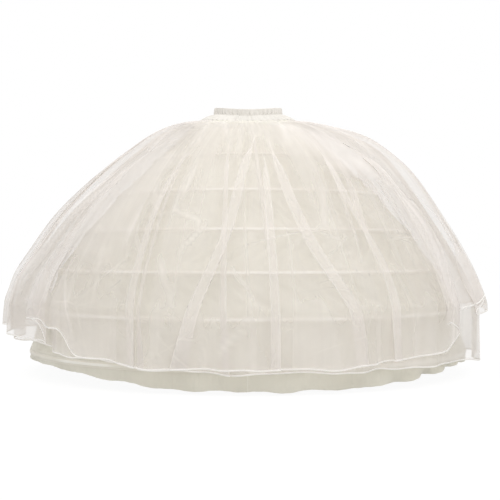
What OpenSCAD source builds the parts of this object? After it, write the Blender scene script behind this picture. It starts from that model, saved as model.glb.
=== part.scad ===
// Hooped crinoline petticoat. An elastic waistband and a gathered yoke carry a gored lining with
// boned hoops in sewn casings, under two gathered layers of tulle with bound hems.
// Millimetres, +Z up. The origin is on the waist axis at mid height of the waistband, and the
// front faces -Y. Heights below the waist are given as drops from the origin.

/* [Waistband] */
// Inside radius of the waistband with its elastic relaxed
waist_r = 101; // [85:1:125]
// Height of the waistband
band_h = 20; // [16:1:36]
// Thickness of the waistband cloth
band_t = 0.8; // [0.5:0.1:1.5]
// Thickness of the elastic
elastic_t = 1.6; // [0.8:0.1:3]
// How far the yoke runs up inside the waistband
band_lap = 5; // [3:0.5:7]

/* [Yoke] */
// Height of the gathered yoke below the waistband
yoke_h = 20; // [14:1:40]
// Radius of the yoke at its lower seam
yoke_r = 150; // [135:1:190]
// Number of gathers around the yoke
gathers = 48; // [36:4:72]
// Depth of the gathers where the yoke is fullest
gather_depth = 6; // [2:0.5:9]

/* [Lining] */
// Thickness of the lining cloth
lining_t = 1; // [0.6:0.1:1.6]
// How far the lining draws in between two hoops
lining_sag = 6; // [0:0.5:14]
// Roundness of the bell: 1 is a straight cone, more is rounder
bell = 1.7; // [1.3:0.05:2.2]
// Depth of the hem below the lowest hoop
hem_h = 55; // [30:1:90]

/* [Hoops] */
// Radius of the lining at the lowest hoop
hem_r = 660; // [560:5:760]
// Drop of the highest hoop below the waist
top_hoop_drop = 144; // [120:1:170]
// Drop of the lowest hoop below the waist
low_hoop_drop = 717; // [640:1:820]
// How much wider the lower hoops are spaced than the upper ones
hoop_ease = 0.08; // [0:0.01:0.2]
// Width of the flat boning
hoop_w = 7; // [4:0.5:10]
// Thickness of the flat boning
hoop_t = 1.4; // [0.8:0.1:2.4]
// Width of the casing tape
casing_w = 18; // [16:0.5:26]
// Thickness of the casing tape
tape_t = 0.8; // [0.5:0.1:1.5]
// Length of the sleeve that joins the ends of a hoop
joiner_l = 46; // [30:1:70]
// Wall of the sleeve
joiner_t = 0.6; // [0.4:0.1:1]

/* [Tulle] */
// Thickness of a layer of tulle
tulle_t = 0.8; // [0.5:0.1:1.5]
// Number of deep folds around the tulle
folds = 16; // [10:2:20]
// Depth of the folds at the hem
fold_depth = 44; // [20:1:80]
// How much the folds bunch together towards the sides
fold_sway = 40; // [0:5:60]
// Gap between the two layers at the hem
layer_gap = 26; // [12:1:50]
// How far the gathered tulle stands up beside its seam
puff = 14; // [0:1:24]
// Distance from the yoke seam to the outer tulle's seam
outer_seat = 6; // [4:0.5:10]
// Distance between the seams of the two layers
seat_step = 8; // [5:0.5:14]
// Height of the tulle's fullest part above the lowest hoop
full_rise = 150; // [100:1:200]
// How far the inner tulle's hem hangs below the lowest hoop, at the front
hem_over = 2; // [-8:1:8]
// How far the outer tulle's hem ends above the inner one
hem_step = 5; // [0:1:15]
// How far the tulle's hem rises on the crest of a fold
hem_lift = 8; // [0:1:12]
// How far the tulle's hem rises from the front to the sides
side_lift = 60; // [0:1:70]
// Height of the ribbon that binds a tulle hem
ribbon_h = 6; // [3:0.5:12]
// Thickness of the folded ribbon
ribbon_t = 2.4; // [1.8:0.1:4]

/* [Hidden] */
$fn = 96;
HOOPS = 6;
GORES = 6;
// Clearance between pieces that are sewn or threaded together
fit = 0.3;
// Room that the tulle keeps from the lowest casing
drape_clear = 8;
FRONT = -90;
BACK = 90;

// Waistband and yoke
band_low = -band_h / 2;
top_ripple = 0.3;
channel = max(elastic_t, lining_t + 2 * top_ripple) + 2 * fit;
channel_r = waist_r + band_t + channel / 2;
band_r = waist_r + 2 * band_t + channel;
elastic_h = band_h - band_t - band_lap - 2 * fit;
seam_z = band_low - yoke_h;
yoke_bands = 4;
// Share of the yoke's gathers that is left at its lower seam
seam_gather = 0.4;
// Straight length of the yoke just under the waistband
yoke_neck = 2;
yoke_flare = 1.2;

// Lining and hoops
low_z = -low_hoop_drop;
hem_z = low_z - hem_h;
seam_gap_a = fit / hem_r * 180 / PI;
hoop_foot = joiner_t + 2 * fit;
hoop_room = hoop_foot + hoop_t + fit;
casing_rise = hoop_room + tape_t;
casing_side = hoop_w / 2 + fit;
hoop_end_gap = 1;

// Tulle
cols = 6 * folds;
inner_full_r = hem_r + casing_rise + drape_clear + fold_depth;
outer_full_r = inner_full_r + layer_gap;
dome_steps = [0, 6, 14, 25, 38, 52, 66, 79, 90];
full_drop = low_hoop_drop - full_rise;
inner_drop = low_hoop_drop + hem_over;
outer_drop = inner_drop - hem_step;
// Share of a dome that is round, the rest is a straight flare
inner_round = 0.55;
outer_round = 0.66;
puff_end = 45;

// Radius of the lining's outer face at height z, between the lowest hoop and the yoke seam
function bell_u(z) = max(0, (z - low_z) / (seam_z - low_z));
function bell_r(z) = yoke_r + (hem_r - yoke_r) * (1 - pow(bell_u(z), bell));
function bell_slope(z) = -(hem_r - yoke_r) * bell * pow(bell_u(z), bell - 1) / (seam_z - low_z);

// Hoop i counts from the top. A hoop's frame is its point on the lining and the lining's
// upward tangent and outward normal there, all as [radius, height].
function hoop_share(i) = (HOOPS - i) / (HOOPS - 1);
function hoop_z(i) = low_z
    + (low_hoop_drop - top_hoop_drop) * hoop_share(i) * (1 + hoop_ease * (1 - hoop_share(i)));
function hoop_point(i) = [bell_r(hoop_z(i)), hoop_z(i)];
function unit(v) = v / norm(v);
function hoop_tangent(i) = unit([bell_slope(hoop_z(i)), 1]);
function hoop_normal(i) = let (t = hoop_tangent(i)) [t.y, -t.x];
function at_hoop(i, along, out) = hoop_point(i) + along * hoop_tangent(i) + out * hoop_normal(i);
function arc_a(length, radius) = length / radius * 180 / PI;

// Outline of the lining's outer face from the yoke seam to the hem. It lies flat under each
// casing and draws in halfway between two hoops.
casing_half = casing_w / 2 + 1;
function flat_ends(i) = [at_hoop(i, casing_half, 0), at_hoop(i, -casing_half, 0)];
function drawn_in(a, b) = let (t = unit(a - b)) (a + b) / 2 - lining_sag * [t.y, -t.x];
lining_face = concat(
    [[yoke_r, seam_z - fit]],
    [for (i = [1:HOOPS]) each concat(
        flat_ends(i),
        i < HOOPS ? [drawn_in(flat_ends(i)[1], flat_ends(i + 1)[0])] : []
    )],
    [[hem_r, hem_z]]
);
function normal_at(path, j) = let (t = unit(path[max(0, j - 1)] - path[min(len(path) - 1, j + 1)]))
    [t.y, -t.x];
// The back of the cloth: square to the path, and level at both ends
function cloth_back(path, t) = [for (j = [0:len(path) - 1])
    let (n = normal_at(path, j), end = j == 0 || j == len(path) - 1)
    end ? path[j] - [t / n.x, 0] : path[j] - t * n];
function reversed(list) = [for (j = [len(list) - 1:-1:0]) list[j]];
// Radius of the straight cone between the yoke seam and the first casing
function cone_r(z) = let (a = lining_face[0], b = lining_face[1])
    a.x + (b.x - a.x) * (a.y - z) / (a.y - b.y);

// Closed sheet between two grids of points, each a list of rings from the top down, with the
// points of a ring counter-clockwise seen from above
module ring_sheet(front, back) {
    rows = len(front);
    count = len(front[0]);
    function at(side, j, i) = (side * rows + j) * count + i % count;
    function quad(a, b, c, d) = [[a, b, c], [a, c, d]];
    walls = [for (j = [0:rows - 2], i = [0:count - 1]) each concat(
        quad(at(0, j, i), at(0, j, i + 1), at(0, j + 1, i + 1), at(0, j + 1, i)),
        quad(at(1, j, i), at(1, j + 1, i), at(1, j + 1, i + 1), at(1, j, i + 1))
    )];
    edges = [for (i = [0:count - 1]) each concat(
        quad(at(1, 0, i), at(1, 0, i + 1), at(0, 0, i + 1), at(0, 0, i)),
        quad(at(0, rows - 1, i), at(0, rows - 1, i + 1), at(1, rows - 1, i + 1), at(1, rows - 1, i))
    )];
    polyhedron([for (side = [front, back]) each [for (ring = side) each ring]], concat(walls, edges));
}

function on_ring(r, a, z) = [r * cos(a), r * sin(a), z];

// A ring of constant section round the waist axis, open over open_a degrees at the back
module hoop_ring(open_a) {
    rotate([0, 0, BACK + open_a / 2]) rotate_extrude(angle = 360 - open_a) children();
}

module waistband() {
    color("ivory") rotate_extrude() difference() {
        translate([waist_r, band_low]) square([band_r - waist_r, band_h]);
        translate([waist_r + band_t, band_low - fit]) square([channel, band_h - band_t + fit]);
        translate([waist_r + band_t + channel, band_h / 2 - band_t]) polygon(
            [[0, band_t], [band_t, 0], [band_t, band_t]]);
    }
}

module waist_elastic() {
    color("white") rotate_extrude()
        translate([channel_r - elastic_t / 2, band_low + band_lap + fit])
            square([elastic_t, elastic_h]);
}

module yoke() {
    columns = 2 * gathers;
    levels = concat([band_low + band_lap],
        [for (j = [0:yoke_bands]) band_low - yoke_neck - (yoke_h - yoke_neck) * j / yoke_bands]);
    last = len(levels) - 1;
    function flare(j) = j == 0 ? 0 : (j - 1) / yoke_bands;
    function mid_r(j) = channel_r + (yoke_r - lining_t / 2 - channel_r) * pow(flare(j), yoke_flare);
    path = [for (j = [0:last]) [mid_r(j), levels[j]]];
    // Way in which the gathers stand out: square to the cloth, and level at the lower seam
    function out(j) = j == last ? [1, 0] : normal_at(path, j);
    function half(j) = lining_t / 2 / (j == last ? normal_at(path, j).x : 1);
    function ripple(j) = flare(j) == 0 ? top_ripple
        : gather_depth / 2 * (j == last ? seam_gather : sin(180 * pow(flare(j), 0.7)));
    function side(s) = [for (j = [0:last]) [for (i = [0:columns - 1])
        let (p = path[j] + (s * half(j) + ripple(j) * (i % 2 == 0 ? 1 : -1)) * out(j))
        on_ring(p.x, 360 * i / columns, p.y)]];
    color("ivory") ring_sheet(side(1), side(-1));
}

module lining_gore(k) {
    span = 360 / GORES;
    color("linen") rotate([0, 0, BACK + span * (k - 1) + seam_gap_a / 2])
        rotate_extrude(angle = span - seam_gap_a)
            polygon(concat(lining_face, reversed(cloth_back(lining_face, lining_t))));
}

module hoop(i) {
    color("whitesmoke") hoop_ring(arc_a(hoop_end_gap, hoop_point(i).x)) polygon([
        at_hoop(i, -hoop_w / 2, hoop_foot), at_hoop(i, hoop_w / 2, hoop_foot),
        at_hoop(i, hoop_w / 2, hoop_foot + hoop_t), at_hoop(i, -hoop_w / 2, hoop_foot + hoop_t)]);
}

// Tape sewn down along both edges, arched over the hoop
module hoop_casing(i) {
    tape_half = casing_w / 2;
    arch = casing_side + casing_rise / 2;
    color("ivory") hoop_ring(arc_a(joiner_l + 4 * fit, hoop_point(i).x)) polygon([
        at_hoop(i, -tape_half, fit / 2), at_hoop(i, -tape_half, tape_t + fit / 2),
        at_hoop(i, -arch - tape_t, tape_t + fit / 2), at_hoop(i, -casing_side, casing_rise),
        at_hoop(i, casing_side, casing_rise), at_hoop(i, arch + tape_t, tape_t + fit / 2),
        at_hoop(i, tape_half, tape_t + fit / 2), at_hoop(i, tape_half, fit / 2),
        at_hoop(i, arch, fit / 2), at_hoop(i, casing_side, hoop_room),
        at_hoop(i, -casing_side, hoop_room), at_hoop(i, -arch, fit / 2)]);
}

// Sleeve over the two ends of a hoop, in the opening of the casing
module hoop_joiner(i) {
    length_a = arc_a(joiner_l, hoop_point(i).x);
    function box(half_w, low, high) = [at_hoop(i, -half_w, low), at_hoop(i, half_w, low),
        at_hoop(i, half_w, high), at_hoop(i, -half_w, high)];
    bore = fit / 2;
    color("gainsboro") rotate([0, 0, BACK - length_a / 2]) rotate_extrude(angle = length_a) difference() {
        polygon(box(hoop_w / 2 + bore + joiner_t, hoop_foot - bore - joiner_t,
            hoop_foot + hoop_t + bore + joiner_t));
        polygon(box(hoop_w / 2 + bore, hoop_foot - bore, hoop_foot + hoop_t + bore));
    }
}

// A layer of tulle is a dome that starts on the lining at seat_z and is fullest at full_drop.
// Each ring is [radius, height, share of the fold depth, share of the hem's lift].
function puff_at(a) = a < puff_end ? puff * sin(180 * sqrt(a / puff_end)) : 0;
function dome_rings(seat_z, full_r, hem_drop, roundness) =
    let (seat_r = cone_r(seat_z - tulle_t) + fit)
    concat(
        [for (a = dome_steps) [
            seat_r + (full_r - seat_r) * (roundness * sin(a) + (1 - roundness) * (1 - cos(a))),
            seat_z - (seat_z + full_drop) * (1 - cos(a)) + puff_at(a),
            pow(sin(a), 2), 0]],
        [[full_r, -hem_drop, 1, 1]]
    );
// Angle round the waist of column i, counted from the front, and its place in a fold: 0 on a
// crest and 1 in a valley
function column_a(i) = 360 * i / cols;
function fold_at(i) = (1 - cos(folds * column_a(i) + fold_sway * sin(2 * column_a(i)))) / 2;
function dome_point(ring, i, shift) = on_ring(
    ring[0] - fold_depth * ring[2] * fold_at(i) + shift.x,
    FRONT + column_a(i),
    ring[1] + ring[3] * (hem_lift * (1 - fold_at(i)) + side_lift * pow(sin(column_a(i)), 2)) + shift.y);
function dome_side(rings, depth) = [for (j = [0:len(rings) - 1])
    let (path = [for (ring = rings) [ring[0], ring[1]]], last = j == len(rings) - 1,
        n = j == 0 ? [0, 1] : last ? [1, 0] : normal_at(path, j))
    [for (i = [0:cols - 1]) dome_point(rings[j], i, -depth * n)]];

inner_rings = dome_rings(seam_z - outer_seat - seat_step, inner_full_r, inner_drop, inner_round);
outer_rings = dome_rings(seam_z - outer_seat, outer_full_r, outer_drop, outer_round);

module tulle(rings) {
    color("snow", 0.5) ring_sheet(dome_side(rings, 0), dome_side(rings, tulle_t));
}

// Ribbon folded round the hem of a layer, hanging just under its edge
module hem_ribbon(rings) {
    hem = rings[len(rings) - 1];
    overhang = (ribbon_t - tulle_t) / 2;
    function edge(out) = [for (drop = [fit, fit + ribbon_h]) [for (i = [0:cols - 1])
        dome_point(hem, i, [out, -drop])]];
    color("white") ring_sheet(edge(overhang), edge(-tulle_t - overhang));
}

waistband();
waist_elastic();
yoke();
for (k = [1:GORES]) lining_gore(k);
for (i = [1:HOOPS]) hoop(i);
for (i = [1:HOOPS]) hoop_casing(i);
for (i = [1:HOOPS]) hoop_joiner(i);
tulle(inner_rings);  // tulle_inner
tulle(outer_rings);  // tulle_outer
hem_ribbon(inner_rings);  // ribbon_inner
hem_ribbon(outer_rings);  // ribbon_outer
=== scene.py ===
import math

import bpy
import numpy as np
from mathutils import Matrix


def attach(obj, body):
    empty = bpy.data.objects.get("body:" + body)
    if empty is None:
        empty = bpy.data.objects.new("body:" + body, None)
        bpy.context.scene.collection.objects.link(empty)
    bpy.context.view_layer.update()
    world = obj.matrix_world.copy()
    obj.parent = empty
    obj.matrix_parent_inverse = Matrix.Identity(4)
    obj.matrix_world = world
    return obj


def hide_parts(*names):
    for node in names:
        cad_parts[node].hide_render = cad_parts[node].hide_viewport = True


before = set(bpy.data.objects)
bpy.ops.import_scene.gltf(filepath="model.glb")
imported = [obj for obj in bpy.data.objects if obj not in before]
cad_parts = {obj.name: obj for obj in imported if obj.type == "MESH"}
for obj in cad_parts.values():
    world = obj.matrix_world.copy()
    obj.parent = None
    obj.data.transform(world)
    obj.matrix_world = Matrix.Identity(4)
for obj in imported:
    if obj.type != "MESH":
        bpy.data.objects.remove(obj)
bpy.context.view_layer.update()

TAU = 2 * math.pi
BODY = "root"

# Sizes in metres, as in the part's source. Heights are from the middle of the waistband.
WAIST_R, BAND_H, BAND_T, CHANNEL = 0.101, 0.020, 0.0008, 0.0022
YOKE_R, SEAM_Z, YOKE_FLARE, YOKE_LAP = 0.150, -0.030, 0.65, 0.005
HEM_R, LOW_Z, HEM_Z, BELL = 0.660, -0.717, -0.772, 1.7
TOP_HOOP_Z, HOOP_EASE, HOOPS, GORES = -0.144, 0.08, 6, 6
CASING_W, LINING_SAG, LINING_T = 0.018, 0.006, 0.001
GATHERS = 48
TULLE_T, FULL_Z, FOLDS = 0.0008, -0.567, 16

# The real waist isn't level: it dips at the front and back, and stands up at the sides
WAIST_DIP, WAIST_STAND = 0.003, 0.011
# Gap between pieces of cloth that touch, and how far the taut strip reaches past its casing
CLEAR, TAUT_MARGIN = 0.0003, 0.001
# Radius that turns an angle into a length of cloth, for the weave
YOKE_CLOTH_R, BAND_CLOTH_R, ELASTIC_CLOTH_R, TULLE_CLOTH_R = 0.2, 0.105, 0.103, 0.7

# Names of the pieces that other cloth rests on
GORE_NAMES = [f"gore_{k}" for k in range(1, GORES + 1)]


# Small helpers

def smooth(a, b, x):
    """0 below a, 1 above b, with a smooth step between."""
    t = np.clip((x - a) / (b - a), 0, 1)
    return t * t * (3 - 2 * t)


def wrapped(angle):
    """The same angle, between -pi and pi."""
    return (angle + math.pi) % TAU - math.pi


def waves(theta, counts, seed, power=0.5):
    """Periodic noise round the waist from whole numbers of waves, about -1 to 1."""
    rng = np.random.RandomState(seed)
    out = np.zeros_like(theta, dtype=float)
    total = 0.0
    for n in counts:
        amp = n ** -power * rng.uniform(0.5, 1.0)
        out = out + amp * np.cos(n * theta + rng.uniform(0, TAU))
        total += amp * amp
    return out / math.sqrt(2 * total)


def bump(theta, degrees, width):
    """A soft hump round the waist, of this half width in degrees."""
    return np.exp(-(wrapped(theta - math.radians(degrees)) / math.radians(width)) ** 2)


def unit(v):
    """Vectors of length 1 in the same directions."""
    return v / np.linalg.norm(v, axis=-1, keepdims=True)


def around(r, theta, z):
    """Points at radius r, angle theta from the front towards +X and height z, where the cloth above the
    top hoop follows the dip of the waist."""
    hang = smooth(TOP_HOOP_Z + 0.02, SEAM_Z, z)
    z = z + hang * (WAIST_STAND * np.sin(theta) ** 2 - WAIST_DIP * np.cos(theta) ** 2)
    return np.stack(np.broadcast_arrays(r * np.sin(theta), -r * np.cos(theta), z), axis=-1)


def run_along(points):
    """Distance of each point from the first one, along the line through them."""
    return np.concatenate([[0], np.cumsum(np.linalg.norm(np.diff(points, axis=0), axis=1))])


def corner_uv(u, v, shape, wrap):
    """UV of the corners of each quad. On a closed sheet, u runs on past the last column."""
    u = np.broadcast_to(u, shape)
    v = np.broadcast_to(v, shape)
    if wrap:
        u = np.concatenate([u, u[:, -1:] + (u[:, -1:] - u[:, -2:-1])], 1)
        v = np.concatenate([v, v[:, :1]], 1)
    both = np.stack([u, v], -1)
    corners = np.stack([both[:-1, :-1], both[1:, :-1], both[1:, 1:], both[:-1, 1:]], 2)
    return corners.reshape(-1).astype(np.float32)


def corner_normals(points, quads, normals):
    """Normals of the corners of each quad: the soft ones given, turned to the side that the quad faces.
    Where a fold turns, the cloth keeps its own normal."""
    flat, soft = points.reshape(-1, 3), normals.reshape(-1, 3)[quads]
    face = np.cross(flat[quads[:, 2]] - flat[quads[:, 0]], flat[quads[:, 3]] - flat[quads[:, 1]])
    face = face / np.maximum(np.linalg.norm(face, axis=1, keepdims=True), 1e-12)
    facing = (face * unit(soft.mean(1))).sum(1)[:, None, None]
    share = smooth(0.05, 0.5, np.abs(facing))
    return unit(share * np.sign(facing) * soft + (1 - share) * face[:, None, :]).reshape(-1, 3)


def grid(name, points, uv, wrap=False, normals=None, cover=None):
    """A quad mesh on rows of points, from the top down and then round the waist."""
    rows, cols = points.shape[:2]
    j = np.arange(rows - 1)[:, None]
    i = np.arange(cols if wrap else cols - 1)[None, :]
    k = (i + 1) % cols
    corners = (j * cols + i, (j + 1) * cols + i, (j + 1) * cols + k, j * cols + k)
    quads = np.stack(np.broadcast_arrays(*corners), -1).reshape(-1, 4).astype(np.int32)
    mesh = bpy.data.meshes.new(name)
    mesh.vertices.add(rows * cols)
    mesh.vertices.foreach_set("co", np.ascontiguousarray(points, dtype=np.float32).ravel())
    mesh.loops.add(quads.size)
    mesh.loops.foreach_set("vertex_index", quads.ravel())
    mesh.polygons.add(len(quads))
    mesh.polygons.foreach_set("loop_start", np.arange(0, quads.size, 4, dtype=np.int32))
    mesh.polygons.foreach_set("use_smooth", np.ones(len(quads), dtype=bool))
    layer = mesh.uv_layers.new(name="UVMap")
    layer.data.foreach_set("uv", corner_uv(*uv, (rows, cols), wrap))
    mesh.update(calc_edges=True)
    if normals is not None:
        mesh.normals_split_custom_set(corner_normals(points, quads, normals).tolist())
    if cover is not None:
        attribute = mesh.attributes.new("cover", "FLOAT", "POINT")
        attribute.data.foreach_set("value", cover.astype(np.float32).ravel())
    obj = bpy.data.objects.new(name, mesh)
    bpy.context.scene.collection.objects.link(obj)
    return obj


def place(obj, mat, node):
    """Gives a piece its material, and puts it on the body in place of its solid."""
    obj.data.materials.append(mat)
    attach(obj, BODY)
    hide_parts(node)


# Nodes of a material, fed by outputs or plain values

def feed(tree, socket, value):
    """Joins a socket to an output, or sets it to a plain value."""
    if isinstance(value, bpy.types.NodeSocket):
        tree.links.new(value, socket)
    else:
        socket.default_value = value


def add(tree, kind, settings, inputs):
    """A node with these settings and inputs."""
    node = tree.nodes.new(kind)
    for name, value in settings.items():
        setattr(node, name, value)
    for name, value in inputs.items():
        feed(tree, node.inputs[name], value)
    return node


def calc(tree, operation, *values):
    """The result of a Math node."""
    return add(tree, "ShaderNodeMath", {"operation": operation}, dict(enumerate(values))).outputs[0]


def ease(tree, value, low, high, to_low=0.0, to_high=1.0):
    """A smooth step from to_low to to_high, as the value goes from low to high."""
    return add(tree, "ShaderNodeMapRange", {"interpolation_type": "SMOOTHSTEP"}, {
        "Value": value, "From Min": low, "From Max": high, "To Min": to_low, "To Max": to_high,
    }).outputs["Result"]


def noise(tree, vector, scale, detail, roughness=0.5):
    """Soft random spots."""
    return add(tree, "ShaderNodeTexNoise", {}, {
        "Vector": vector, "Scale": scale, "Detail": detail, "Roughness": roughness})


def threads(tree, vector, direction, scale):
    """Threads side by side, a little uneven."""
    return add(tree, "ShaderNodeTexWave", {"wave_type": "BANDS", "bands_direction": direction}, {
        "Vector": vector, "Scale": scale, "Distortion": 0.6, "Detail": 1.0}).outputs["Fac"]


def stretched(tree, vector, scale):
    """Coordinates times these scales."""
    return add(tree, "ShaderNodeMapping", {}, {"Vector": vector, "Scale": scale}).outputs["Vector"]


# Colour sockets of a Mix node by number, because its other sockets have the same names
MIX_FROM, MIX_TO, MIX_RESULT = 6, 7, 2


def mixed(tree, amount, colour, other):
    """A colour mixed with this amount of another."""
    return add(tree, "ShaderNodeMix", {"data_type": "RGBA"}, {
        "Factor": amount, MIX_FROM: colour, MIX_TO: (*other, 1)}).outputs[MIX_RESULT]


# Materials

# Streaks down the net and crumples across it: how fine they are, and how much they add to the cover
STREAK_SCALE, STREAK_COVER = (46, 1.6, 1), 0.06
CRUMPLE_SCALE, CRUMPLE_BEND, CRUMPLE_COVER = 6.0, 0.06, 0.13
# Stitches: half width and pitch in metres, height in parts of the weave, and colour
STITCH_W, STITCH_PITCH, STITCH_RISE = 0.0006, 0.003, 4.0
THREAD = (0.88, 0.865, 0.82)
# The painted highlight along the middle of a tape, for light on the hoop's ridge, fades out
# between these distances from its middle
HIGHLIGHT_IN, HIGHLIGHT_OUT = 0.0025, 0.0050
# Woven cloth: uneven yarn, height of the weave, spread of the roughness, and sheen
YARN_SCALE, YARN_TONE, WEAVE_H = (60, 420, 1), 0.15, 0.0004
ROUGH_SPREAD, SPECULAR, SHEEN, SHEEN_ROUGH = 0.08, 0.25, 0.2, 0.4


def net_cover(tree, coord):
    """How much the net hides: its own cover, fine streaks down the fall of the cloth, and the lines of
    crumples in some places."""
    cover = add(tree, "ShaderNodeAttribute", {"attribute_name": "cover"}, {}).outputs["Fac"]
    here = coord.outputs["Object"]
    fall = noise(tree, stretched(tree, coord.outputs["UV"], STREAK_SCALE), 1.0, 2.0)
    streak = ease(tree, fall.outputs["Fac"], 0.48, 0.76, 0.0, STREAK_COVER)
    wander = noise(tree, here, 4.0, 3.0)
    bent = add(tree, "ShaderNodeVectorMath", {"operation": "MULTIPLY_ADD"}, {
        0: wander.outputs["Color"], 1: (CRUMPLE_BEND,) * 3, 2: here})
    cells = add(tree, "ShaderNodeTexVoronoi", {"feature": "DISTANCE_TO_EDGE"}, {
        "Vector": bent.outputs["Vector"], "Scale": CRUMPLE_SCALE})
    line = ease(tree, cells.outputs["Distance"], 0.025, 0.0, 0.0, CRUMPLE_COVER)
    extra = calc(tree, "MULTIPLY_ADD", line, ease(tree, wander.outputs["Fac"], 0.50, 0.68), streak)
    return calc(tree, "MULTIPLY_ADD", extra, calc(tree, "SUBTRACT", 1.0, cover), cover)


def stitch_row(tree, along, off, at):
    """1 on the stitches of a seam at this distance from a tape's middle line or edge, and 0 beside them."""
    row = ease(tree, calc(tree, "ABSOLUTE", calc(tree, "SUBTRACT", off, at)), STITCH_W, STITCH_W / 2)
    wave = calc(tree, "SINE", calc(tree, "MULTIPLY", along, TAU / STITCH_PITCH))
    return calc(tree, "MULTIPLY", row, ease(tree, wave, -0.7, -0.2))


def cloth_material(name, dark, light, roughness, thread, depth, net=False, ridge_highlight=None, stitch=None):
    """Woven cloth: crossing threads in the cloth's own coordinates, uneven yarn and soft colour variation.
    Net lets through what its threads don't cover. A painted highlight of this colour runs along the
    middle of a tape, for light on the hoop's ridge, and stitches at this distance from the middle or edge."""
    mat = bpy.data.materials.new(name)
    mat.use_nodes = True
    tree = mat.node_tree
    coord = add(tree, "ShaderNodeTexCoord", {}, {})
    uv, here = coord.outputs["UV"], coord.outputs["Object"]
    height = calc(tree, "MAXIMUM", threads(tree, uv, "X", thread), threads(tree, uv, "Y", thread))
    yarn = noise(tree, stretched(tree, uv, YARN_SCALE), 1.0, 3.0, 0.6).outputs["Fac"]
    cloud = noise(tree, here, 9.0, 4.0, 0.55).outputs["Fac"]
    ramp = add(tree, "ShaderNodeValToRGB", {}, {"Fac": calc(tree, "MULTIPLY_ADD", yarn, YARN_TONE, cloud)})
    first, last = ramp.color_ramp.elements
    first.position, first.color = 0.35, (*dark, 1)
    last.position, last.color = 0.8, (*light, 1)
    colour = ramp.outputs["Color"]
    if ridge_highlight or stitch:
        split = add(tree, "ShaderNodeSeparateXYZ", {}, {0: uv})
        off = calc(tree, "ABSOLUTE", split.outputs["Y"])
    # Painted highlight: a pale line along the middle of the tape for the light on the hoop's ridge, patchy
    # along its length
    if ridge_highlight:
        fade = ease(tree, noise(tree, here, 3.5, 2.0).outputs["Fac"], 0.38, 0.58, 0.15, 1.0)
        amount = calc(tree, "MULTIPLY", ease(tree, off, HIGHLIGHT_OUT, HIGHLIGHT_IN), fade)
        colour = mixed(tree, amount, colour, ridge_highlight)
    if stitch:
        seam = stitch_row(tree, split.outputs["X"], off, stitch)
        colour = mixed(tree, seam, colour, THREAD)
        height = calc(tree, "MULTIPLY_ADD", seam, STITCH_RISE, height)
    relief = add(tree, "ShaderNodeBump", {}, {"Strength": depth, "Distance": WEAVE_H, "Height": height})
    shader = tree.nodes["Principled BSDF"].inputs
    feed(tree, shader["Base Color"], colour)
    feed(tree, shader["Roughness"],
         calc(tree, "MULTIPLY_ADD", yarn, 2 * ROUGH_SPREAD, roughness - ROUGH_SPREAD))
    feed(tree, shader["Normal"], relief.outputs["Normal"])
    feed(tree, shader["Specular IOR Level"], SPECULAR)
    feed(tree, shader["Sheen Weight"], SHEEN)
    feed(tree, shader["Sheen Roughness"], SHEEN_ROUGH)
    if net:
        feed(tree, shader["Alpha"], net_cover(tree, coord))
    return mat


LINING = cloth_material("lining_cloth", (0.73, 0.713, 0.635), (0.80, 0.783, 0.705), 0.5, 900, 0.1)
# The casing tape has a painted highlight along its middle, where the hoop's ridge catches the light
TAPE = cloth_material("casing_tape", (0.76, 0.73, 0.655), (0.83, 0.80, 0.725), 0.45, 700, 0.1,
                      ridge_highlight=(0.95, 0.94, 0.90), stitch=0.0075)
BAND = cloth_material("waist_cloth", (0.75, 0.727, 0.688), (0.84, 0.82, 0.786), 0.55, 900, 0.1, stitch=0.0022)
# The yoke is the waistband's cloth with painted shade: darker, because its face turns up to the overhead lamp
SHADED_YOKE = cloth_material("yoke_cloth", (0.68, 0.66, 0.62), (0.77, 0.75, 0.715), 0.55, 900, 0.1)
TULLE = cloth_material("tulle", (0.88, 0.842, 0.816), (0.94, 0.905, 0.885), 0.6, 600, 0.1, net=True)
RIBBON = cloth_material("ribbon", (0.90, 0.88, 0.86), (0.96, 0.945, 0.93), 0.4, 900, 0.1)
ELASTIC = cloth_material("elastic", (0.74, 0.73, 0.70), (0.90, 0.89, 0.86), 0.7, 600, 0.6)
BONING = cloth_material("boning", (0.80, 0.80, 0.79), (0.92, 0.92, 0.91), 0.4, 200, 0.1)
SLEEVE = cloth_material("joiner_plastic", (0.68, 0.69, 0.70), (0.80, 0.81, 0.82), 0.25, 300, 0.05)


# Lining: the outline of its outer face, as in the part's source

# Half the height of the strip that lies taut under a casing, and the length of the hem below the lowest one
HALF_TAUT, HEM_FALL = CASING_W / 2 + TAUT_MARGIN, 0.046
# Rows of points from the yoke to the first casing, between two casings, on a taut strip and down the hem
TOP_ROWS, BAND_ROWS, TAUT_ROWS, HEM_ROWS = 26, 22, 4, 18


def bell_u(z):
    """Share of the way up from the lowest hoop to the yoke seam."""
    return np.maximum(0, (z - LOW_Z) / (SEAM_Z - LOW_Z))


def bell_r(z):
    """Radius of the bell."""
    return YOKE_R + (HEM_R - YOKE_R) * (1 - bell_u(z) ** BELL)


def bell_slope(z):
    """How fast the radius of the bell grows with height."""
    return -(HEM_R - YOKE_R) * BELL * bell_u(z) ** (BELL - 1) / (SEAM_Z - LOW_Z)


def hoop_frame(i):
    """Point, upward tangent and outward normal of hoop i, from the top, as (radius, height)."""
    share = (HOOPS - i) / (HOOPS - 1)
    z = LOW_Z + (TOP_HOOP_Z - LOW_Z) * share * (1 + HOOP_EASE * (1 - share))
    tangent = unit(np.array([bell_slope(z), 1.0]))
    return np.array([bell_r(z), z]), tangent, np.array([tangent[1], -tangent[0]])


FRAMES = [hoop_frame(i) for i in range(1, HOOPS + 1)]


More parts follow.
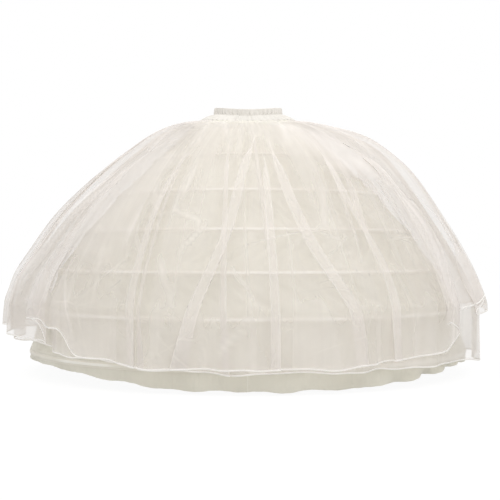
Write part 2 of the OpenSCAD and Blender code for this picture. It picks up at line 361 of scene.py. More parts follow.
def lining_profile():
    """Points down the lining, and for each the distance to the nearest hoop, the band it is in,
    its share of the way across that band and its share of the way down the hem."""
    points, facts = [], []

    def put(point, *fact):
        points.append(point)
        facts.append(fact)

    for i, (middle, up, _) in enumerate(FRAMES):
        top, low = middle + HALF_TAUT * up, middle - HALF_TAUT * up
        above = points[-1] if i else np.array([YOKE_R, SEAM_Z - CLEAR])
        rows = BAND_ROWS if i else TOP_ROWS
        chord = np.linalg.norm(top - above)
        direction = (top - above) / chord
        inward = np.array([direction[1], -direction[0]])
        for row in range(1 if i else 0, rows):
            x = row / rows
            sag = LINING_SAG * 4 * x * (1 - x) if i else 0
            put(above + (top - above) * x + inward * sag, HALF_TAUT + chord * min(x, 1 - x), i, x, 0)
        for row in range(TAUT_ROWS + 1):
            x = row / TAUT_ROWS
            put(top + (low - top) * x, abs(HALF_TAUT - 2 * HALF_TAUT * x), i, 1, 0)
    low = points[-1]
    for row in range(1, HEM_ROWS + 1):
        x = row / HEM_ROWS
        put(low + (np.array([HEM_R, HEM_Z]) - low) * x, HALF_TAUT + HEM_FALL * x, HOOPS, 0, x)
    return [np.array(points)] + [np.array(column) for column in zip(*facts)]


PROFILE, HOOP_DIST, BAND_NO, ACROSS, HEM_SHARE = lining_profile()
DOWN = unit(np.gradient(PROFILE, axis=0))
OUT = np.stack([-DOWN[:, 1], DOWN[:, 0]], 1)
ALONG = run_along(PROFILE)

# Drape between the hoops: long swells, slanting creases and drag lines that cross them
SWELL, SLANT, DRAG = 0.004, 0.0022, 0.0012
DRAG_LINES = ((7, 2.0), (11, 3.0), (17, -2.5), (23, 3.5))
# Puckers along the casings: depth, how far they reach, and their counts round the waist
PUCKER, PUCKER_REACH = 0.0011, 0.022
PUCKER_COUNTS = [2 * int(n) for n in np.linspace(70, 130, 9)]
# The hem: ripples in and out and up and down, and deeper flutes at the right, at this angle in degrees
HEM_RIPPLE, HEM_DIP, HEM_FRAY = 0.0035, 0.0030, 0.0005
FLUTE_AT, FLUTE_WIDTH, FLUTES, FLUTE_DEPTH, FLUTE_DIP = 46, 14, 34, 0.014, 0.005
# How much shorter the hem is at the sides
LEFT_LIFT, RIGHT_LIFT = 0.036, 0.032


def lining_points(theta):
    """The draped lining at these angles: taut on each hoop, slack between, puckered at the casings
    and rippled at the hem."""
    th = theta[None, :]
    across = ACROSS[:, None]
    push = np.zeros((len(PROFILE), len(theta)))
    for b in range(1, HOOPS):
        slack = (BAND_NO == b)[:, None] * 4 * across * (1 - across)
        skew = th + 0.25 * (across - 0.5) * (1 if b % 2 else -1)
        drag = np.maximum(waves(th, range(3, 13), 20 + b, 0.2), 0) ** 2
        push = push - slack * SWELL * waves(th, range(5, 24), 40 + b)
        push = push + slack * SLANT * waves(skew, range(30, 80, 3), 60 + b, 0.3)
        for n, m in DRAG_LINES:
            push = push + slack * drag * DRAG * np.cos(n * th + m * TAU * across + b + n)
    gap = np.maximum(HOOP_DIST - CASING_W / 2, 0)[:, None]
    hem = HEM_SHARE[:, None]
    pucker = np.where(hem > 0, 1, np.exp(-gap / PUCKER_REACH)) * smooth(0, 0.004, gap)
    push = push + PUCKER * pucker * waves(th, PUCKER_COUNTS, 7, 0.1)
    flute = bump(th, FLUTE_AT, FLUTE_WIDTH)
    loose = hem ** 1.4
    push = push + loose * HEM_RIPPLE * waves(th, range(14, 46, 2), 8, 0.2)
    push = push + loose * FLUTE_DEPTH * flute * np.cos(th * FLUTES + 0.4)
    # The hem is shorter towards the sides, and sooner on the left than on the right
    turn = np.degrees(np.arcsin(np.abs(np.sin(th))))
    lift = np.where(np.sin(th) < 0, LEFT_LIFT * smooth(8, 58, turn), RIGHT_LIFT * smooth(20, 66, turn))
    dip = HEM_DIP * waves(th, range(9, 40, 3), 9, 0.2) + FLUTE_DIP * flute * np.sin(th * FLUTES)
    dip = dip + HEM_FRAY * waves(th, range(60, 160, 7), 10, 0.1)
    r = PROFILE[:, :1] + OUT[:, :1] * push
    z = PROFILE[:, 1:] + OUT[:, 1:] * push + hem * lift + loose * dip
    return around(r, th, z)


# The seams of the gores: the gap in radians, and the depth and width of the groove
SEAM_GAP, GROOVE, GROOVE_W = 0.0002, 0.0008, 0.003
GORE_COLS, GORE_TURN = 120, TAU / GORES
for k, name in enumerate(GORE_NAMES, 1):
    start = math.pi + GORE_TURN * (k - 1)
    theta = start + np.linspace(SEAM_GAP, GORE_TURN - SEAM_GAP, GORE_COLS)
    pts = lining_points(theta)
    edge = np.minimum(theta - start, start + GORE_TURN - theta)[None, :] * PROFILE[:, :1]
    groove = GROOVE * np.exp(-(edge / GROOVE_W) ** 2)[..., None]
    pts = pts - groove * around(1.0, theta, -1.0)[None] * (1, 1, 0)
    obj = grid(name, pts, (theta[None, :] * PROFILE[:, :1], -ALONG[:, None]))
    place(obj, LINING, f"lining_gore_{k}")


# Casings: tape sewn down along both edges, arched over the hoop

CASING_OPENING, CASING_PITCH, CASING_ROWS = 0.0475, 0.007, 17
TAPE_LIFT, ARCH_H, ARCH_HALF, TAPE_WOBBLE = 0.0006, 0.0030, 0.0050, 0.00035
for i, (middle, up, outward) in enumerate(FRAMES, 1):
    opening = CASING_OPENING / middle[0] / 2
    cols = int(middle[0] * TAU / CASING_PITCH)
    theta = math.pi + opening + np.linspace(0, TAU - 2 * opening, cols)
    across = np.linspace(CASING_W / 2, -CASING_W / 2, CASING_ROWS)[:, None]
    edge = (np.abs(across) / (CASING_W / 2)) ** 3
    wobble = TAPE_WOBBLE * waves(theta, range(90, 240, 11), 80 + i, 0.1)[None, :] * edge
    a = across + wobble
    out = TAPE_LIFT + ARCH_H * np.exp(-(np.abs(across) / ARCH_HALF) ** 4) + np.abs(wobble)
    r, z = (middle[axis] + a * up[axis] + out * outward[axis] for axis in (0, 1))
    pts = around(r, theta[None, :], z)
    obj = grid(f"casing_{i}", pts, (theta[None, :] * middle[0], across))
    place(obj, TAPE, f"hoop_casing_{i}")


# Yoke and waistband, gathered together

YOKE_COLS, YOKE_ROWS, BAND_COLS, ELASTIC_COLS = 1152, 22, 900, 300
BAND_LOW = -BAND_H / 2
# Depth of the gathers at the waistband and where the yoke is fullest
GATHER_NECK, GATHER_DEPTH = 0.0003, 0.0046
# Depth of the ribs at the top of the waistband, and how much they gain towards its lower edge
RIB_TOP, RIB_GAIN = 0.0005, 0.0023
# Height and thickness of the elastic, and its distance from the inner wall of its channel
ELASTIC_H, ELASTIC_T, ELASTIC_GAP = 0.0144, 0.0014, 0.0004


def ring(cols):
    """Evenly spaced angles round the waist."""
    return np.arange(cols) / cols * TAU


def gather_phase(theta):
    """Where each angle lies in its gather, with gathers of uneven width."""
    return GATHERS * theta + 1.8 * waves(theta, range(3, 30), 21)


theta = ring(YOKE_COLS)
top_levels = [BAND_LOW + YOKE_LAP, BAND_LOW + 0.001]
levels = np.concatenate([top_levels, np.linspace(BAND_LOW - 0.001, SEAM_Z, YOKE_ROWS)])[:, None]
share = np.clip((BAND_LOW - levels) / (BAND_LOW - SEAM_Z), 0, 1)
channel_r = WAIST_R + BAND_T + CHANNEL / 2
mid_r = channel_r + (YOKE_R - LINING_T / 2 - channel_r) * share ** YOKE_FLARE
gather = 0.75 * np.cos(gather_phase(theta)) + 0.25 * np.cos(2 * gather_phase(theta) + 0.6)
size = 0.75 + 0.45 * waves(theta, range(4, 40, 3), 22)
swell = smooth(0, 0.3, share) * (1 - 0.65 * share)
ripple = GATHER_NECK * gather * (1 - share) + GATHER_DEPTH * swell * gather * size
pts = around(mid_r + 0.7 * ripple, theta[None, :], levels + 0.5 * ripple * share)
obj = grid("yoke_cloth", pts, (theta[None, :] * YOKE_CLOTH_R, levels), wrap=True)
place(obj, SHADED_YOKE, "yoke")


def band_section(outer_r, fold_r):
    """Radius and height of points up the waistband's outer face, over its fold and down its inner face."""
    section = [(outer_r - 0.0003, BAND_LOW), (outer_r, BAND_LOW + 0.0006)]
    section += [(outer_r, z) for z in np.linspace(BAND_LOW + 0.0015, 0.0075, 12)]
    for a in np.radians(np.linspace(15, 165, 8)):
        section.append((WAIST_R + fold_r + fold_r * math.cos(a), 0.0080 + 0.0019 * math.sin(a)))
    section += [(WAIST_R, z) for z in np.linspace(0.0075, BAND_LOW, 12)]
    return np.array(section)


theta = ring(BAND_COLS)
outer_r = WAIST_R + 2 * BAND_T + CHANNEL
fold_r = (outer_r - WAIST_R) / 2
section = band_section(outer_r, fold_r)
across, height = section[:, :1], section[:, 1:]
rib = np.cos(gather_phase(theta)) * (0.75 + 0.25 * np.clip(waves(theta, range(4, 40, 3), 22), -1, 1))
outside = smooth(WAIST_R + fold_r * 0.7, outer_r, across)
belly = np.clip(1 - (height / 0.0095) ** 2, 0, 1) ** 0.5
depth = (RIB_TOP + RIB_GAIN * smooth(0.006, -0.008, height)) * (0.35 + 0.65 * belly)
r = across + outside * (depth * rib + 0.0002)
pts = around(r, theta[None, :], height + 0.0003 * smooth(0.006, 0.0099, height) * rib)
run = run_along(section)
obj = grid("waistband_cloth", pts[::-1], (theta[None, :] * BAND_CLOTH_R, -run[::-1, None]), wrap=True)
place(obj, BAND, "waistband")

theta = ring(ELASTIC_COLS)
rise = np.array([0, 1, 1, 0, 0])[:, None] * ELASTIC_H - ELASTIC_H / 2
r = np.array([0, 0, 1, 1, 0])[:, None] * ELASTIC_T + WAIST_R + BAND_T + ELASTIC_GAP
pts = around(r, theta[None, :], rise)
uv = (theta[None, :] * ELASTIC_CLOTH_R, np.arange(len(rise))[:, None] * 0.012)
obj = grid("elastic_tape", pts[::-1], uv, wrap=True)
place(obj, ELASTIC, "waist_elastic")


# Tulle: a dome with deep folds, pleats that lie over themselves, and fine creases that fan out from the waist

TULLE_COLS, TULLE_ROWS = 1080, 88
# Depth of the deep folds, and how far they bunch towards the sides
FOLD_DEPTH, FOLD_SWAY = 0.042, math.radians(40)
# Depth of the waves: gathers at the seam, fine gathers, soft folds, wide folds, and the flare of the hem
SEAM_WAVE, FINE_WAVE, SOFT_WAVE, WIDE_WAVE, HEM_FLARE = 0.0035, 0.0020, 0.0024, 0.0045, 0.008
# How far the seam wanders up and down, and how far the left side bulges, at which height
SEAM_WANDER, BULGE, BULGE_Z, BULGE_HALF = 0.004, 0.010, -0.49, 0.06
# How far the right shoulder stands up and the left one hangs
RIGHT_SHOULDER, LEFT_SHOULDER = 0.037, 0.014
# Cover of flat net, and what it gains at the sides and towards the hem
PLAIN_COVER, SIDE_COVER, HEM_COVER = 0.22, 0.11, 0.16
# How far a random pleat drifts on its way down, in degrees
FAN_DRIFT = 4
# Heights of the hems at the front, the lowest that the net can reach, and how far the hems wave
OUTER_HEM_Z, INNER_HEM_Z, NET_LOW_Z, HEM_WAVE = -0.718, -0.722, -0.728, 0.003
# How far the outer hem rises at the middle of the front and at the left and right sides
FRONT_RISE, LEFT_RISE, RIGHT_RISE = 0.009, 0.080, 0.074
# How far it is turned up on the left, and caught up and tucked on the right
TURNED_UP, CAUGHT_UP, TUCKED_UP = 0.060, 0.066, 0.045
# How far the inner hem rises at the left side and hangs at the right
INNER_RISE, INNER_HANG = 0.070, 0.013


def cone_r(z):
    """Radius of the lining between the yoke seam and the first casing."""
    middle, up, _ = FRAMES[0]
    top, low = PROFILE[0], middle + HALF_TAUT * up
    return top[0] + (low[0] - top[0]) * (top[1] - z) / (top[1] - low[1])


def dome(layer):
    """Fine points down a layer, from its seam to its fullest height and on to the lowest hem, and
    for each the angle along the dome."""
    seat_z, full_r, roundness = layer["seat_z"], layer["full_r"], layer["roundness"]
    a = np.radians(np.linspace(0, 90, 400))
    seat_r = cone_r(seat_z - TULLE_T) + CLEAR
    r = seat_r + (full_r - seat_r) * (roundness * np.sin(a) + (1 - roundness) * (1 - np.cos(a)))
    z = seat_z - (seat_z - FULL_Z) * (1 - np.cos(a))
    drop = np.linspace(FULL_Z, NET_LOW_Z, 60)[1:]
    path = np.concatenate([np.stack([r, z], 1), np.stack([np.full_like(drop, full_r), drop], 1)])
    return path, np.concatenate([a, np.full_like(drop, math.pi / 2)])


def fold_shape(theta):
    """The deep folds round the waist: 0 on a crest and 1 in a valley."""
    return (1 - np.cos(FOLDS * theta + FOLD_SWAY * np.sin(2 * theta))) / 2


def track_angle(track, t):
    """Angle of a fold line at shares t down the layer, on a smooth curve through (share, degrees) pairs."""
    shares, angles = np.array(track, float).T
    slopes = np.gradient(angles, shares)
    k = np.clip(np.searchsorted(shares, t) - 1, 0, len(shares) - 2)
    span = shares[k + 1] - shares[k]
    x = np.clip((t - shares[k]) / span, 0, 1)
    rise = x * x * (3 - 2 * x)
    bend = x * (1 - x) * span * ((1 - x) * slopes[k] - x * slopes[k + 1])
    return np.radians(angles[k] + (angles[k + 1] - angles[k]) * rise + bend)


def beside(track, degrees):
    """A line at this angle from another one."""
    return [(share, angle + degrees) for share, angle in track]


def pleat(track, width, draw, depth, side, start, end=1.1):
    """A fold along a track, of this half width in degrees. Draw is how far the cloth is drawn together:
    more than about a third lays it over itself. Side says which edge lies on top."""
    return {"track": track, "width": math.radians(width), "draw": draw, "depth": depth, "side": side,
            "start": start, "end": end}


def crease(track, width, strength, start, end=1.1):
    """A line along a track where the net shows denser."""
    return {"track": track, "width": math.radians(width), "strength": strength, "start": start, "end": end}


def layer_columns(pleats):
    """Angles of the columns, closer together where the cloth lies over itself."""
    fine = np.linspace(-math.pi, math.pi, 20000, endpoint=False)
    density = np.ones_like(fine)
    for p in pleats:
        for angle in track_angle(p["track"], np.array([0.35, 0.6, 0.85])):
            density += 0.7 * np.exp(-(wrapped(fine - angle) / p["width"]) ** 2)
    share = np.concatenate([[0], np.cumsum(np.minimum(density, 5))])
    even = np.linspace(0, share[-1], TULLE_COLS, endpoint=False)
    return np.interp(even, share, np.linspace(-math.pi, math.pi, 20001))


def layer_rows():
    """Shares of the rows down a layer, closer together at the seam and at the shoulders."""
    fine = np.linspace(0, 1, 2000)
    share = np.cumsum(1 + 0.8 * np.exp(-(fine / 0.07) ** 2) + 0.7 * np.exp(-((fine - 0.46) / 0.14) ** 2))
    return np.interp(np.linspace(share[0], share[-1], TULLE_ROWS), share, fine)


def pleated(pleats, S, t):
    """Angle and outward push of the cloth where pleats draw it together. They lie flat above the hem."""
    theta = S.copy()
    push = np.zeros(S.shape)
    loose = 0.2 + 0.8 * smooth(0.82, 1, t)
    for p in pleats:
        x = np.clip(wrapped(S - track_angle(p["track"], t)[:, None]) / p["width"], -1, 1)
        keep = smooth(p["start"] - 0.06, p["start"] + 0.04 + 1.5 * p["width"], t)
        keep = keep * (1 - smooth(p["end"] - 0.08, p["end"] + 0.05, t))
        wave = np.sin(math.pi * x)
        theta = theta - keep[:, None] * p["draw"] * p["width"] * wave
        push = push - p["side"] * (keep * loose)[:, None] * p["depth"] * wave
    return theta, push


def rumpled(S, T, seed):
    """Outward push of the waves: uneven gathers at the seam, then long soft folds, then wide waves."""
    push = SEAM_WAVE * np.exp(-T / 0.1) * smooth(0, 0.03, T) * waves(S, range(9, 44, 3), seed + 7, 0.2)
    push = push + (FINE_WAVE * np.exp(-T / 0.07) * smooth(0, 0.015, T)
                   * waves(S, range(90, 180, 7), seed + 1, 0.1))
    push = push + (SOFT_WAVE * smooth(0.03, 0.2, T) * (1 - 0.6 * smooth(0.55, 0.95, T))
                   * waves(S, range(38, 90, 5), seed + 2, 0.3))
    return push + WIDE_WAVE * smooth(0.15, 0.6, T) * waves(S, range(9, 30, 2), seed + 3, 0.3)


def creased(creases, S, t):
    """Extra layers' worth of cover along the creases. One that runs aslant is wider and fainter."""
    extra = np.zeros(S.shape)
    for c in creases:
        line = track_angle(c["track"], t)
        width = np.maximum(c["width"], 0.9 * np.abs(np.gradient(line)))[:, None]
        ends = smooth(c["start"] - 0.04, c["start"] + 0.04, t)
        ends = ends * (1 - smooth(c["end"] - 0.04, c["end"] + 0.04, t))
        along = np.exp(-(wrapped(S - line[:, None]) / width) ** 2) * ends[:, None]
        extra = extra + c["strength"] * np.sqrt(c["width"] / width) * along
    return extra


def thread_cover(layer, theta, S, T, t, r):
    """How much the threads cover: more where the cloth is gathered, and where it is bunched at the sides."""
    seed = layer["seed"]
    turn = np.arccos(np.cos(theta))
    aside = smooth(0.40, 0.95, np.sin(turn / 2) * 1.35) * (1 - 0.85 * smooth(1.75, 2.4, turn))
    # Cloth drawn together shows denser, most of all along the edge of a fold, but at the sides the
    # streaks run together into one soft tone
    flank = smooth(0.55, 0.95, np.abs(np.sin(theta)))
    stretch = np.abs(np.gradient(theta, axis=1) / np.gradient(S, axis=1))
    drawn = np.clip(1 / np.maximum(stretch, 0.1), 0.5, 4) ** (0.5 - 0.25 * flank)
    fullness = (layer["full_r"] / r) ** (0.45 + 0.45 * aside) * drawn
    streaks = 1 + (0.25 - 0.10 * flank) * waves(S, range(7, 26, 2), seed + 5, 0.2)
    streaks = streaks + 0.08 * (1 - flank) * waves(S, range(50, 150, 9), seed + 6, 0.1)
    plain = PLAIN_COVER + SIDE_COVER * aside + HEM_COVER * smooth(0.78, 0.97, T)
    return 1 - (1 - plain) ** (fullness * np.clip(streaks, 0.5, 1.6) + creased(layer["creases"], S, t))


def layer_points(layer, s, t, pleats):
    """Points, dome normals, distances down the cloth and cover of a layer, at the angles s of its cloth
    and the shares t down it."""
    seed = layer["seed"]
    path, angle = dome(layer)
    run = run_along(path)
    slope = unit(np.gradient(path, axis=0))
    S = np.broadcast_to(s[None, :], (len(t), len(s)))
    T = np.broadcast_to(t[:, None], S.shape)
    theta, push = pleated(pleats, S, t)
    length = np.interp(-layer["hem"](theta, S), -path[:, 1], run)
    at = T * run[-1] - smooth(0.45, 1, T) * (run[-1] - length)
    r0, z0 = np.interp(at, run, path[:, 0]), np.interp(at, run, path[:, 1])
    nr, nz = np.interp(at, run, -slope[:, 1]), np.interp(at, run, slope[:, 0])
    a = np.interp(at, run, angle)
    push = push + rumpled(S, T, seed)
    flare = smooth(0.86, 1, T) * HEM_FLARE * waves(S, range(18, 60, 3), seed + 4, 0.2)
    r = r0 + nr * push + flare - np.sin(a) ** 2 * FOLD_DEPTH * fold_shape(theta)
    r = r + BULGE * np.maximum(-np.sin(theta), 0) * np.exp(-((z0 - BULGE_Z) / BULGE_HALF) ** 2)
    seam = SEAM_WANDER * (1 - smooth(0, 0.07, T)) * waves(S, range(5, 40, 3), seed + 8, 0.2)
    shoulder = np.where(np.sin(theta) > 0, RIGHT_SHOULDER, LEFT_SHOULDER) * np.sin(theta)
    shoulder = shoulder * smooth(0.1, 0.6, a) * np.sin(2 * a) ** 2 * (1 - 0.6 * smooth(0.8, 1.15, a))
    z = z0 + nz * push + seam + shoulder
    dome_normal = np.stack([nr * np.sin(theta), -nr * np.cos(theta), nz], -1)
    return around(np.maximum(r, 0.05), theta, z), dome_normal, at, thread_cover(layer, theta, S, T, t, r0)


def tulle_layer(name, node, ribbon, ribbon_node, layer):
    """One layer of tulle with the ribbon on its hem."""
    s = layer_columns(layer["pleats"])
    t = layer_rows()
    pts, outward, run, cover = layer_points(layer, s, t, layer["pleats"])
    plain = layer_points(layer, s, t, [])[0]
    across = np.roll(plain, -1, 1) - np.roll(plain, 1, 1)
    soft = unit(np.cross(np.gradient(plain, axis=0), across))
    # Net scatters light much the same whichever way it faces, so folds show by their density
    normals = unit(0.6 * outward + 0.4 * soft)
    obj = grid(name, pts, (s[None, :] * TULLE_CLOTH_R, -run), wrap=True, normals=normals, cover=cover)
    place(obj, TULLE, node)
    trim = hem_ribbon(ribbon, pts, ribbon_node)


# Half height and half thickness of the folded ribbon, how far it hangs below the net, and its flat width
RIBBON_H, RIBBON_T, RIBBON_DROP, RIBBON_FLAT = 0.0020, 0.0009, 0.0014, 0.012


def hem_ribbon(name, pts, node):
    """A ribbon folded round the lowest row of a layer."""
    hem = pts[-1]
    down = unit(hem - pts[-3])
    along = unit(np.roll(hem, -1, 0) - np.roll(hem, 1, 0))
    normal = unit(np.cross(along, down))
    turns = np.linspace(0, TAU, 9)
    rows = np.array([hem + down * (RIBBON_DROP + RIBBON_H * math.cos(a)) + normal * RIBBON_T * math.sin(a)
                     for a in turns])
    uv = (run_along(hem)[None, :], np.linspace(0, RIBBON_FLAT, len(turns))[:, None])
    obj = grid(name, rows, uv, wrap=True)
    place(obj, RIBBON, node)
    return obj


def fan(rng, count, width, draw, depth, within=(-180, 180), start=(0.1, 0.4), end=(0.6, 1.15)):
    """Pleats at random places round the waist, each fanning out a little on its way down."""
    folds = []
    for angle in np.linspace(*within, count, endpoint=False):
        angle = angle + rng.uniform(0, (within[1] - within[0]) / count)
        drift = rng.uniform(-FAN_DRIFT, FAN_DRIFT)
        track = [(0.1, angle - drift), (0.5, angle + rng.uniform(-1, 1)), (1, angle + drift)]
        folds.append(pleat(track, rng.uniform(*width), rng.uniform(*draw), rng.uniform(*depth),
                           rng.choice([-1, 1]), rng.uniform(*start), rng.uniform(*end)))
    return folds


def step_up(s, start, end):
    """0 to 1 between two angles in degrees."""
    return smooth(math.radians(start), math.radians(end), s)


def outer_hem(theta, s):
    """Height of the outer hem. It turns up in a fold on the left, and is caught up on the right."""
    caught = (CAUGHT_UP * step_up(s, 42.5, 52) + TUCKED_UP * bump(s, 61, 3)) * (1 - step_up(s, 90, 170))
    turned = TURNED_UP * step_up(s, -58, -52) * step_up(s, -37, -43)
    side = np.where(np.sin(theta) < 0, LEFT_RISE, RIGHT_RISE) * np.sin(theta) ** 2
    level = OUTER_HEM_Z + FRONT_RISE * bump(theta, 0, 12) + side
    return level + caught + turned + HEM_WAVE * waves(theta, range(12, 50, 3), 91, 0.2)


def inner_hem(theta, s):
    """Height of the inner hem. It is shorter at the left side and a little longer at the right."""
    side = np.where(np.sin(theta) < 0, INNER_RISE * np.sin(theta) ** 2, -INNER_HANG * bump(theta, 90, 22))
    return INNER_HEM_Z + side + HEM_WAVE * waves(theta, range(12, 50, 3), 92, 0.2)


# The folds that turn up at the left and right corners of the front, as (share of the way down, degrees)
LEFT_FOLD = [(0.2, -38), (0.43, -47), (0.69, -52), (1, -54)]
RIGHT_FOLD = [(0.25, 37), (0.4, 44.5), (0.55, 52.5), (0.7, 53.5), (0.85, 51.5), (1, 50.5)]

rng = np.random.RandomState(5)
OUTER_PLEATS = [
    pleat([(0.2, -22), (0.53, -23.8), (1, -23.3)], 4.2, 0.7, 0.004, 1, 0.3),
    pleat([(0.2, 4), (0.34, -0.1), (0.64, -5.4), (0.88, -11.8), (1, -14)], 4.2, 0.75, 0.004, -1, 0.22),
    pleat([(0.2, 5.3), (1, 5.5)], 3.6, 0.7, 0.004, 1, 0.3),
    pleat([(0.2, 8), (0.39, 10), (0.68, 15.7), (0.86, 21.1), (1, 23)], 4.2, 0.75, 0.004, 1, 0.25),
    pleat([(0.2, 24), (0.52, 28.3), (0.67, 31.9), (1, 33)], 4.0, 0.7, 0.004, -1, 0.3),
    pleat(LEFT_FOLD, 9.0, 0.9, 0.005, -1, 0.2),
    pleat(RIGHT_FOLD, 9.0, 0.9, 0.005, 1, 0.22),
    pleat([(0.6, 63), (1, 63)], 5.0, 0.8, 0.005, 1, 0.65),
]
WIDE, NARROW = (3, 5), (0.8, 1.8)
OUTER_PLEATS += fan(rng, 16, WIDE, (0.6, 0.9), (0.003, 0.005), within=(74, 288))
OUTER_PLEATS += fan(rng, 40, NARROW, (0.05, 0.16), (0.001, 0.002))
for side in ((-82, -63), (65, 82)):
    OUTER_PLEATS += fan(rng, 3, (2.5, 3.5), (0.5, 0.7), (0.002, 0.003), within=side, start=(0.1, 0.2))

# Creases that follow the corner folds, cross the left shoulder, and lie as two soft zones on the front
OUTER_CREASES = [
    crease(beside(RIGHT_FOLD, -3.5), 0.5, 2.6, 0.36),
    crease(beside(RIGHT_FOLD, -4.6), 0.4, 1.8, 0.40),
    crease(beside(RIGHT_FOLD, -6.0), 0.5, 1.5, 0.44),
    crease(beside(RIGHT_FOLD, 3.5), 0.4, 1.5, 0.40),
    crease(beside(LEFT_FOLD, 4.5), 0.5, 1.6, 0.4),
    crease([(0.2, -60), (0.45, -75), (0.6, -84)], 1.2, 1.3, 0.2, 0.5),
    crease([(0.3, -53), (0.45, -58), (0.95, -68)], 0.7, 2.0, 0.35, 0.97),
    crease([(0.3, -50), (0.45, -56), (0.95, -64)], 0.5, 1.6, 0.4, 0.9),
    crease([(0.54, -18.6), (0.58, -12.3)], 0.7, 1.8, 0.54, 0.58),
    crease([(0.1, 24), (0.17, 25), (0.3, 29), (0.42, 35)], 9.0, 1.8, 0.12, 0.42),
    crease([(0.25, -30), (0.4, -34), (0.53, -38), (0.75, -40)], 8.0, 0.9, 0.3, 0.72),
]
# Creases that hang from the waist, at these angles to either side of the front
for side, low in ((-1, 20), (1, 14), (-1, 8), (1, 34), (-1, 44), (1, 52), (-1, 62)):
    high = low + rng.uniform(8, 16)
    track = [(0.03, side * high), (0.12, side * (low + 6)), (0.34, side * low)]
    OUTER_CREASES.append(crease(track, rng.uniform(1.4, 2.6), rng.uniform(0.6, 1.2),
                                0.04, rng.uniform(0.2, 0.34)))
# Short creases where the front is rumpled
for angle in rng.uniform(-48, 48, 16):
    middle, reach = rng.uniform(0.4, 0.92), rng.uniform(0.03, 0.07)
    slant = rng.uniform(-3, 3)
    start, end = middle - reach, middle + reach
    track = [(start, angle - slant), (end, angle + slant)]
    OUTER_CREASES.append(crease(track, rng.uniform(0.4, 0.8), rng.uniform(0.6, 1.4), start, end))
INNER_PLEATS = fan(rng, 22, WIDE, (0.5, 0.8), (0.003, 0.005))
INNER_PLEATS += fan(rng, 36, NARROW, (0.05, 0.16), (0.001, 0.002))

tulle_layer("tulle_inner_net", "tulle_inner", "tulle_inner_ribbon", "ribbon_inner", {
    "seat_z": -0.044, "full_r": 0.7157, "roundness": 0.55, "hem": inner_hem, "pleats": INNER_PLEATS,
    "creases": [], "seed": 100})
tulle_layer("tulle_outer_net", "tulle_outer", "tulle_outer_ribbon", "ribbon_outer", {
    "seat_z": -0.036, "full_r": 0.7417, "roundness": 0.66, "hem": outer_hem, "pleats": OUTER_PLEATS,
    "creases": OUTER_CREASES, "seed": 200})

# Hoops and sleeves keep their solids
for name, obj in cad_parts.items():
    if name.startswith("hoop_") and not name.startswith("hoop_casing"):
        obj.data.materials.clear()
        obj.data.materials.append(SLEEVE if name.startswith("hoop_joiner") else BONING)


# Light: a soft sky, which looks plain white where it is seen, and two large lamps

SKY_COLOUR, SKY = (1.0, 0.985, 0.96, 1), 0.81
MIDDLE = (0, 0, -0.4)

scene = bpy.context.scene
scene.world = bpy.data.worlds.new("studio")
scene.world.use_nodes = True
tree = scene.world.node_tree
tree.nodes.clear()
sky = add(tree, "ShaderNodeBackground", {}, {"Color": SKY_COLOUR, "Strength": SKY})
white = add(tree, "ShaderNodeBackground", {}, {"Color": (1, 1, 1, 1), "Strength": 1.0})
ray = tree.nodes.new("ShaderNodeLightPath").outputs
seen = calc(tree, "MAXIMUM", ray["Is Camera Ray"], ray["Is Glossy Ray"])
seen = calc(tree, "MAXIMUM", seen, ray["Is Transmission Ray"])
both = add(tree, "ShaderNodeMixShader", {}, {0: seen, 1: sky.outputs[0], 2: white.outputs[0]})
add(tree, "ShaderNodeOutputWorld", {}, {"Surface": both.outputs[0]})


def area_lamp(name, location, size, watts, colour):
    """A round lamp that faces the middle of the skirt."""
    data = bpy.data.lights.new(name, "AREA")
    data.shape = "DISK"
    data.size = size
    data.energy = watts
    data.color = colour
    obj = bpy.data.objects.new(name, data)
    obj.location = location
    d = np.array(MIDDLE, float) - np.array(location, float)
    obj.rotation_euler = (math.acos(-d[2] / np.linalg.norm(d)), 0, math.atan2(d[1], d[0]) - math.pi / 2)
    scene.collection.objects.link(obj)


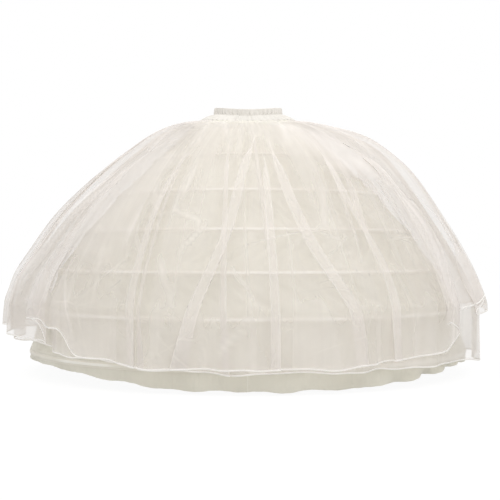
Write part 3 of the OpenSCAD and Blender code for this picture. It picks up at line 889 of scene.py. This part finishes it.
area_lamp("key", (0.1, -2.7, 1.0), 1.8, 7, (1.0, 0.985, 0.965))
area_lamp("overhead", (0.3, -0.4, 2.3), 3.0, 36, (1.0, 0.99, 0.975))


# Floor, a little below the hem. Its own glow keeps it as pale as the ground of a cut-out photograph.

FLOOR_Z, FLOOR_HALF = -0.782, 9
FLOOR_GLOW, GLOW_SHARE = 1.052, 0.9

floor_mat = bpy.data.materials.new("floor")
floor_mat.use_nodes = True
tree = floor_mat.node_tree
shader = tree.nodes["Principled BSDF"]
shader.inputs["Base Color"].default_value = (0.8, 0.8, 0.79, 1)
shader.inputs["Roughness"].default_value = 0.9
glow = add(tree, "ShaderNodeEmission", {}, {"Strength": FLOOR_GLOW})
ray = tree.nodes.new("ShaderNodeLightPath").outputs
seen = calc(tree, "MULTIPLY", ray["Is Camera Ray"], GLOW_SHARE)
both = add(tree, "ShaderNodeMixShader", {}, {0: seen, 1: shader.outputs[0], 2: glow.outputs[0]})
feed(tree, tree.nodes["Material Output"].inputs["Surface"], both.outputs[0])
mesh = bpy.data.meshes.new("floor")
corners = [(x * FLOOR_HALF, y * FLOOR_HALF, FLOOR_Z) for x, y in ((-1, -1), (1, -1), (1, 1), (-1, 1))]
mesh.from_pydata(corners, [], [(0, 1, 2, 3)])
floor = bpy.data.objects.new("floor", mesh)
floor.data.materials.append(floor_mat)
scene.collection.objects.link(floor)


# Camera: level, in front of the skirt, with half of its view this wide at the waist axis

CAMERA_X, CAMERA_Z, CAMERA_AWAY, HALF_VIEW, SENSOR = 0.006, -0.417, 3.4, 0.775, 36

camera = bpy.data.cameras.new("camera")
camera.sensor_width = SENSOR
camera.lens = SENSOR / 2 / (HALF_VIEW / CAMERA_AWAY)
obj = bpy.data.objects.new("camera", camera)
obj.location = (CAMERA_X, -CAMERA_AWAY, CAMERA_Z)
obj.rotation_euler = (math.pi / 2, 0, 0)
scene.collection.objects.link(obj)
scene.camera = obj
scene.view_settings.view_transform = "Standard"
# Stacked net needs more see-through steps than Blender's default, and its light more bounces
scene.cycles.transparent_max_bounces = 48
scene.cycles.diffuse_bounces = 8
